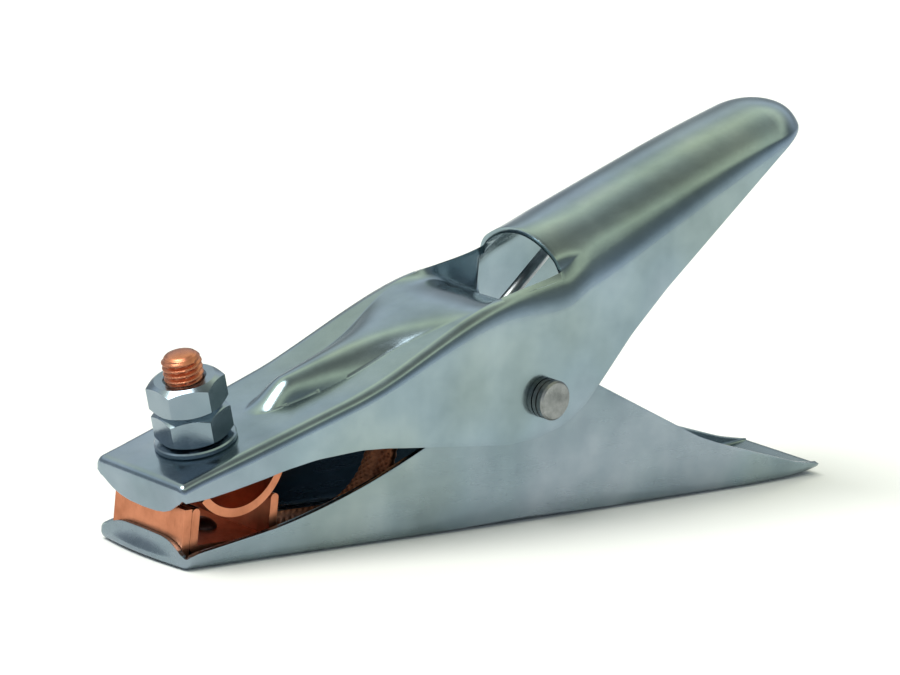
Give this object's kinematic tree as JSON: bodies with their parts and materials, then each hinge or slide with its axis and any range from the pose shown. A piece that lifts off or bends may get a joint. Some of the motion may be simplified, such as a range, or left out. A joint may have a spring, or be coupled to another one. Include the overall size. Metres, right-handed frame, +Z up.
{
  "type": "welding ground clamp",
  "caption": "Spring-closed welding earth clamp: two pressed zinc-plated steel levers on a pivot pin, copper jaws, braided strap and a threaded cable stud.",
  "frame": {"origin": "centre of the clamp's footprint, on the underside of the lower lever", "axes": "+X from the jaw towards the handles, +Y across the clamp along the pivot pin, +Z up"},
  "size_m": [0.2307, 0.0474, 0.1031],
  "materials": {
    "zinc_sheet": "bright zinc plate with a faint iridescence, satin",
    "zinc_fastener": "blue-bright zinc plate",
    "bare_steel": "scuffed bare steel",
    "spring_steel": "plated spring wire",
    "dark_steel": "dark oxidised steel",
    "copper_plate": "copper-plated steel thread",
    "copper": "sheared and rolled copper strip",
    "copper_braid": "braided fine copper wire"
  },
  "bodies": {
    "lower_body": {"lower_lever": "zinc_sheet", "pivot_pin": "bare_steel", "near_pivot_collar": "bare_steel", "far_pivot_collar": "bare_steel", "pivot_end_cap": "bare_steel", "pivot_sleeve": "zinc_fastener", "closing_spring": "spring_steel", "lower_contact": "copper", "front_contact_plate": "copper", "contact_rivet": "dark_steel", "strap_lower_ferrule": "copper", "braided_strap": "copper_braid"},
    "upper_body": {"upper_lever": "zinc_sheet", "stud_bolt": "copper_plate", "stud_washer": "zinc_fastener", "clamp_nut": "zinc_fastener", "cable_nut": "zinc_fastener", "upper_contact": "copper", "strap_upper_lug": "copper"}
  },
  "joints": [
    {"name": "jaw_hinge", "type": "hinge", "parent": "lower_body", "child": "upper_body", "pos_m": [0.0014, 0, 0.0335], "axis": [0, 1, 0], "range_deg": [0, 28], "stiffness_Nm_per_rad": 3, "springref_deg": -68.75, "deforming": ["closing_spring", "braided_strap"]}
  ]
}
